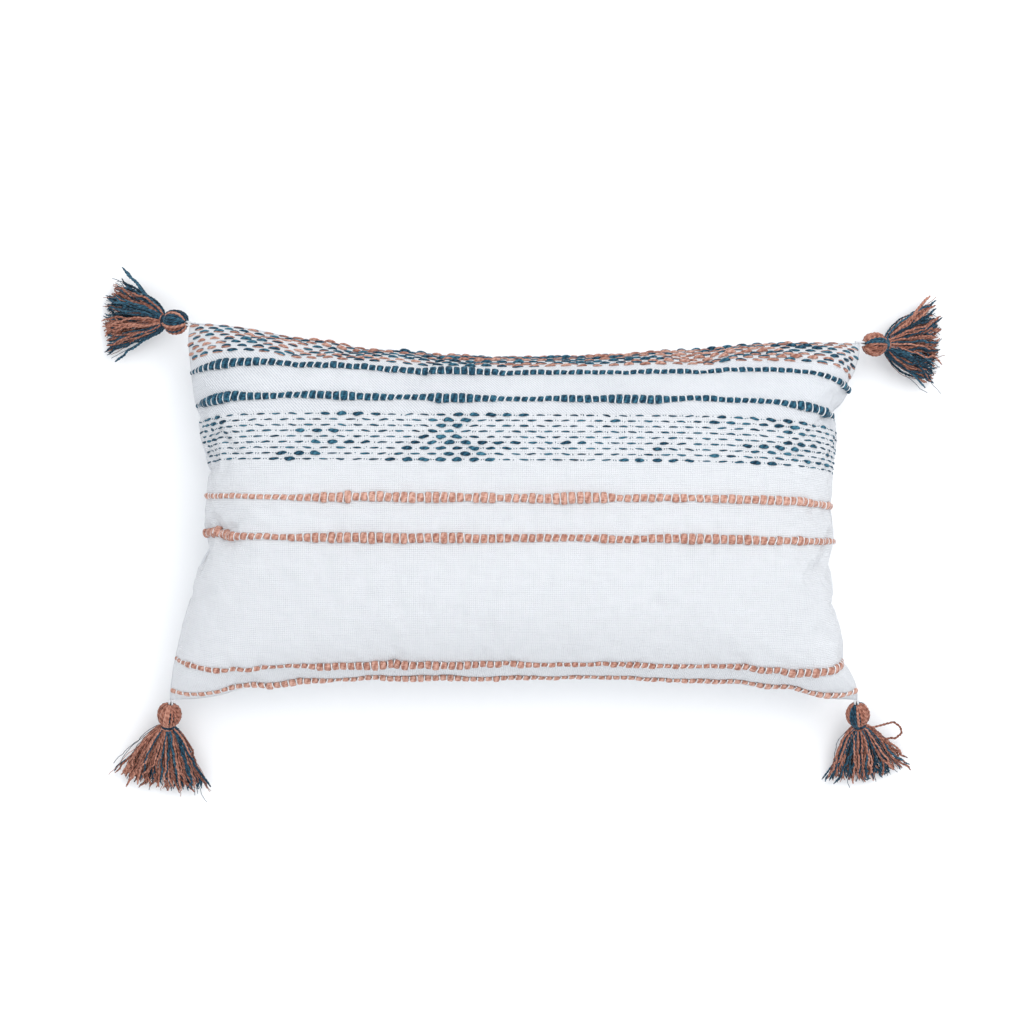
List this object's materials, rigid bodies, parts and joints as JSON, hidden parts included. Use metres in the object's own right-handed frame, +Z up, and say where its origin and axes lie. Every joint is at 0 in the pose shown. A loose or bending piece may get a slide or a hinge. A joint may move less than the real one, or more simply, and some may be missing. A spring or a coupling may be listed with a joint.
{
  "type": "throw pillow",
  "caption": "Long lumbar throw pillow with a white woven front, thick navy and terracotta yarn stripes, corner yarn tassels, a concealed zip and a filled inner cushion.",
  "frame": {"origin": "middle of the flat patch on the underside that the pillow rests on, face up", "axes": "+X along the long side, +Y towards the navy stripes, +Z up out of the front"},
  "size_m": [0.7385, 0.4559, 0.1449],
  "materials": {
    "front_cloth": "slub woven cotton, cool white",
    "back_cloth": "plain woven cotton, cool white",
    "lining": "thin non-woven casing, white",
    "fibre_fill": "loose polyester fibre, white",
    "navy_yarn": "thick soft cotton yarn, navy with teal lights",
    "terracotta_yarn": "thick soft cotton yarn, pale terracotta",
    "tassel_yarn": "mixed navy and terracotta yarn strands",
    "loop_yarn": "white sewn cord",
    "zip_tape": "fine twill tape, white",
    "zip_nylon": "white nylon coil",
    "zip_metal": "satin nickel-coloured metal"
  },
  "bodies": {
    "pillow": {"cover_front_panel": "front_cloth", "cover_back_panel": "back_cloth", "insert_casing_front": "lining", "insert_casing_back": "lining", "insert_fill": "fibre_fill", "navy_stripe_1": "navy_yarn", "navy_stripe_2": "navy_yarn", "terracotta_stripe_1": "terracotta_yarn", "terracotta_stripe_2": "terracotta_yarn", "terracotta_stripe_3": "terracotta_yarn", "terracotta_stripe_4": "terracotta_yarn", "zipper_tape_front": "zip_tape", "zipper_tape_back": "zip_tape", "zipper_coil_front": "zip_nylon", "zipper_coil_back": "zip_nylon", "zipper_top_stop": "zip_metal", "zipper_bottom_stop": "zip_metal"},
    "zipper_slider_body": {"zipper_slider": "zip_metal"},
    "zipper_pull_body": {"zipper_pull": "zip_metal"},
    "tassel_top_left_loop_body": {"tassel_top_left_loop": "loop_yarn"},
    "tassel_top_left_body": {"tassel_top_left_head": "tassel_yarn", "tassel_top_left_neck_wrap": "navy_yarn", "tassel_top_left_skirt": "tassel_yarn"},
    "tassel_top_right_loop_body": {"tassel_top_right_loop": "loop_yarn"},
    "tassel_top_right_body": {"tassel_top_right_head": "tassel_yarn", "tassel_top_right_neck_wrap": "navy_yarn", "tassel_top_right_skirt": "tassel_yarn"},
    "tassel_bottom_left_loop_body": {"tassel_bottom_left_loop": "loop_yarn"},
    "tassel_bottom_left_body": {"tassel_bottom_left_head": "tassel_yarn", "tassel_bottom_left_neck_wrap": "navy_yarn", "tassel_bottom_left_skirt": "tassel_yarn"},
    "tassel_bottom_right_loop_body": {"tassel_bottom_right_loop": "loop_yarn"},
    "tassel_bottom_right_body": {"tassel_bottom_right_head": "tassel_yarn", "tassel_bottom_right_neck_wrap": "navy_yarn", "tassel_bottom_right_skirt": "tassel_yarn"}
  },
  "joints": [
    {"name": "zipper_slide", "type": "slide", "parent": "pillow", "child": "zipper_slider_body", "axis": [-1, 0, 0], "range_m": [0, 0.33]},
    {"name": "zipper_pull_flip", "type": "hinge", "parent": "zipper_slider_body", "child": "zipper_pull_body", "pos_m": [0.165, -0.1426, 0.062], "axis": [0, 0, 1], "range_deg": [0, 150]},
    {"name": "tassel_top_left_sway", "type": "hinge", "parent": "pillow", "child": "tassel_top_left_loop_body", "pos_m": [-0.284, 0.165, 0.045], "axis": [0, 0, 1], "range_deg": [-40, 40]},
    {"name": "tassel_top_left_lift", "type": "hinge", "parent": "tassel_top_left_loop_body", "child": "tassel_top_left_body", "pos_m": [-0.28813, 0.16558, 0.04306], "axis": [0.1392, 0.9903, 0], "range_deg": [-55, 45]},
    {"name": "tassel_top_right_sway", "type": "hinge", "parent": "pillow", "child": "tassel_top_right_loop_body", "pos_m": [0.293, 0.148, 0.045], "axis": [0, 0, 1], "range_deg": [-40, 40]},
    {"name": "tassel_top_right_lift", "type": "hinge", "parent": "tassel_top_right_loop_body", "child": "tassel_top_right_body", "pos_m": [0.29712, 0.148, 0.04295], "axis": [0, -1, 0], "range_deg": [-55, 45]},
    {"name": "tassel_bottom_left_sway", "type": "hinge", "parent": "pillow", "child": "tassel_bottom_left_loop_body", "pos_m": [-0.301, -0.159, 0.045], "axis": [0, 0, 1], "range_deg": [-40, 40]},
    {"name": "tassel_bottom_left_lift", "type": "hinge", "parent": "tassel_bottom_left_loop_body", "child": "tassel_bottom_left_body", "pos_m": [-0.30173, -0.16314, 0.04312], "axis": [-0.9848, 0.1736, 0], "range_deg": [-55, 45]},
    {"name": "tassel_bottom_right_sway", "type": "hinge", "parent": "pillow", "child": "tassel_bottom_right_loop_body", "pos_m": [0.29, -0.159, 0.045], "axis": [0, 0, 1], "range_deg": [-40, 40]},
    {"name": "tassel_bottom_right_lift", "type": "hinge", "parent": "tassel_bottom_right_loop_body", "child": "tassel_bottom_right_body", "pos_m": [0.29071, -0.16304, 0.04292], "axis": [-0.9848, -0.1736, 0], "range_deg": [-55, 45]}
  ]
}
